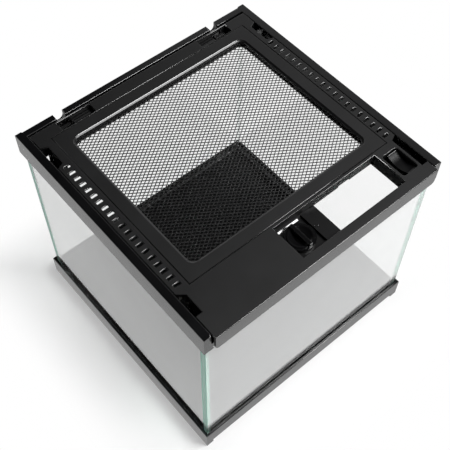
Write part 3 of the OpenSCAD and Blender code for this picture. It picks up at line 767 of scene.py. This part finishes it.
@dataclass
class ThumbLatch:
    """Thumb latch with its bolt and coil spring."""

    palette: Palette
    travel: float = 4.0 * MM

    def build(self) -> list[bpy.types.Object]:
        """Builds the latch and its spring.

        Returns:
            The two pieces.
        """
        pad = SoftenedSolid("thumb_latch", Body.LATCH, Slot.FITTING, self.palette.thumb, self.palette.polished,
                            slope=self.palette.thumb).build()
        return [pad, self.spring()]

    def spring(self) -> bpy.types.Object:
        """Copies the spring and attaches it to the latch with a mesh of its own; nothing here makes it shorten as
        the latch moves.

        Returns:
            The spring.
        """
        bm = bmesh.new()
        bm.from_mesh(FRAME["nodes"]["latch_spring"].data)
        piece = new_object(bm, "latch_spring_coil", self.palette.spring)
        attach(piece, Body.LATCH.value)
        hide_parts("latch_spring")
        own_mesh(piece)
        return piece


@dataclass
class CableInlets:
    """The two shutters at the back of the lid."""

    palette: Palette
    edge: float = 0.2 * MM

    def build(self) -> list[bpy.types.Object]:
        """Builds both shutters.

        Returns:
            Its pieces.
        """
        shutters = (("inlet_shutter_left", Body.LEFT_SHUTTER), ("inlet_shutter_right", Body.RIGHT_SHUTTER))
        return [SoftenedSolid(node, body, Slot.FITTING, self.palette.fitting, self.palette.polished,
                              self.edge, self.edge).build() for node, body in shutters]


def distance_share(b: NodeBuilder, near: float, far: float, start: float, end: float) -> bpy.types.NodeSocket:
    """Gives a share that changes smoothly with the distance from the middle of a square.

    Args:
        b: Material of the floor.
        near: Share at the start.
        far: Share at the end.
        start: Distance along X or Y, the larger one, where the change starts.
        end: Distance where the change ends.

    Returns:
        The share.
    """
    size = b.add("ShaderNodeVectorMath", operation="ABSOLUTE")
    b.link(b.coords, size.inputs[0])
    split = b.add("ShaderNodeSeparateXYZ")
    b.link(size.outputs["Vector"], split.inputs["Vector"])
    larger = combine(b.tree, "MAXIMUM", split.outputs["X"], split.outputs["Y"])
    return fade(b.tree, larger, start, end, near, far)


def white_share(b: NodeBuilder, direct: bpy.types.NodeSocket, through: float) -> bpy.types.NodeSocket:
    """Gives the share of plain white in the floor that a ray sees.

    Args:
        b: Material of the floor.
        direct: Share for camera rays.
        through: Share for rays that come by a mirror or through glass.

    Returns:
        The share, 0 for the rays that light the object.
    """
    path = b.add("ShaderNodeLightPath")
    either = combine(b.tree, "MAXIMUM", path.outputs["Is Glossy Ray"], path.outputs["Is Transmission Ray"])
    seen = combine(b.tree, "MULTIPLY", path.outputs["Is Camera Ray"], direct)
    return combine(b.tree, "MAXIMUM", seen, b.range(either, 0.0, through))


@dataclass(frozen=True)
class Lamp:
    """Soft square lamp that looks at the tank."""

    name: str
    place: tuple[float, float, float]
    size: float
    power: float
    target: tuple[float, float, float] = (0, 0, 0.12)

    def hang(self) -> None:
        """Adds the lamp to the scene."""
        data = bpy.data.lights.new(self.name, "AREA")
        data.energy = self.power
        data.size = self.size
        lamp = bpy.data.objects.new(self.name, data)
        place = Vector(self.place)
        aim = Vector(self.target) - place
        lamp.matrix_world = Matrix.Translation(place) @ aim.to_track_quat("-Z", "Y").to_matrix().to_4x4()
        bpy.context.scene.collection.objects.link(lamp)


@dataclass
class Studio:
    """Pale floor, soft light and the camera of the picture.

    The floor's shares and the sky's strengths are of plain white; a height is a ray direction's vertical part.
    """

    eye: Vector = field(default_factory=lambda: Vector((-0.22689, -0.26095, 0.59576)))
    right: Vector = field(default_factory=lambda: Vector((0.76278, -0.64663, 0.00628)))
    down: Vector = field(default_factory=lambda: Vector((-0.53308, -0.63428, -0.55992)))
    forward: Vector = field(default_factory=lambda: Vector((0.36605, 0.42375, -0.82852)))
    lens: float = 66.53
    sensor: float = 36.0
    floor_half: float = 3.0
    floor_grey: float = 0.92
    floor_near: float = 0.45
    floor_far: float = 1.0
    shade_start: float = 0.1
    shade_end: float = 0.165
    floor_through: float = 0.9
    sky_low: float = 0.05
    sky_high: float = 0.008
    sky_start: float = 0.05
    sky_end: float = 0.6
    backdrop_end: float = 0.4
    lamps: tuple[Lamp, ...] = (Lamp("key", (1.104, -1.173, 2.532), 1.4, 104.0),
                               Lamp("rim", (1.0, 0.75, 1.0), 1.0, 1.6))

    def build(self) -> None:
        """Sets up the camera, the floor, the lamps and the world."""
        scene = bpy.context.scene
        scene.view_settings.view_transform = "Standard"
        self.camera(scene)
        self.floor()
        self.world(scene)
        for lamp in self.lamps:
            lamp.hang()

    def camera(self, scene: bpy.types.Scene) -> None:
        """Places the camera as in the photograph.

        Args:
            scene: Scene that takes the camera.
        """
        data = bpy.data.cameras.new("camera")
        data.sensor_width = self.sensor
        data.lens = self.lens
        camera = bpy.data.objects.new("camera", data)
        turn = Matrix((self.right, -self.down, -self.forward)).transposed().to_4x4()
        camera.matrix_world = Matrix.Translation(self.eye) @ turn
        scene.collection.objects.link(camera)
        scene.camera = camera

    def floor(self) -> None:
        """Lays a white floor that keeps the tank's shadow."""
        bm = bmesh.new()
        bmesh.ops.create_grid(bm, x_segments=1, y_segments=1, size=self.floor_half)
        b = NodeBuilder("studio_floor")
        grey = self.floor_grey
        diffuse = b.add("ShaderNodeBsdfDiffuse", Color=(grey, grey, grey, 1))
        white = b.add("ShaderNodeEmission", Color=(1, 1, 1, 1), Strength=1.0)
        mix = b.add("ShaderNodeMixShader")
        direct = distance_share(b, self.floor_near, self.floor_far, self.shade_start, self.shade_end)
        b.link(white_share(b, direct, self.floor_through), mix.inputs["Fac"])
        b.link(diffuse.outputs["BSDF"], mix.inputs[1])
        b.link(white.outputs["Emission"], mix.inputs[2])
        b.link(mix.outputs["Shader"], b.output.inputs["Surface"])
        floor = new_object(bm, "studio_floor", b.material)

    def world(self, scene: bpy.types.Scene) -> None:
        """Makes a surround that is white at the horizon and dim overhead.

        Args:
            scene: Scene that takes the world.
        """
        world = bpy.data.worlds.new("studio")
        world.use_nodes = True
        tree = world.node_tree
        background = tree.nodes["Background"]
        background.inputs["Color"].default_value = (1, 1, 1, 1)
        coords = tree.nodes.new("ShaderNodeTexCoord")
        split = tree.nodes.new("ShaderNodeSeparateXYZ")
        tree.links.new(coords.outputs["Object"], split.inputs["Vector"])
        path = tree.nodes.new("ShaderNodeLightPath")
        height = split.outputs["Z"]
        strength = fade(tree, height, self.sky_start, self.sky_end, self.sky_low, self.sky_high)
        backdrop = fade(tree, height, self.sky_start, self.backdrop_end, 1.0, self.sky_high)
        for ray in ("Is Camera Ray", "Is Glossy Ray", "Is Transmission Ray"):
            seen = combine(tree, "MULTIPLY", path.outputs[ray], backdrop)
            strength = combine(tree, "MAXIMUM", strength, seen)
        tree.links.new(strength, background.inputs["Strength"])
        scene.world = world


def main() -> None:
    """Builds every sub-assembly and the studio."""
    logging.basicConfig(level=logging.INFO)
    palette = Palette.make()
    for part in (TankBody(palette), LidAssembly(palette), FeedingDoor(palette), ThumbLatch(palette),
                 CableInlets(palette)):
        for piece in part.build():
            LOG.info("%s: %s has %d faces", type(part).__name__, piece.name, len(piece.data.polygons))
    Studio().build()


if __name__ == "__main__":
    main()
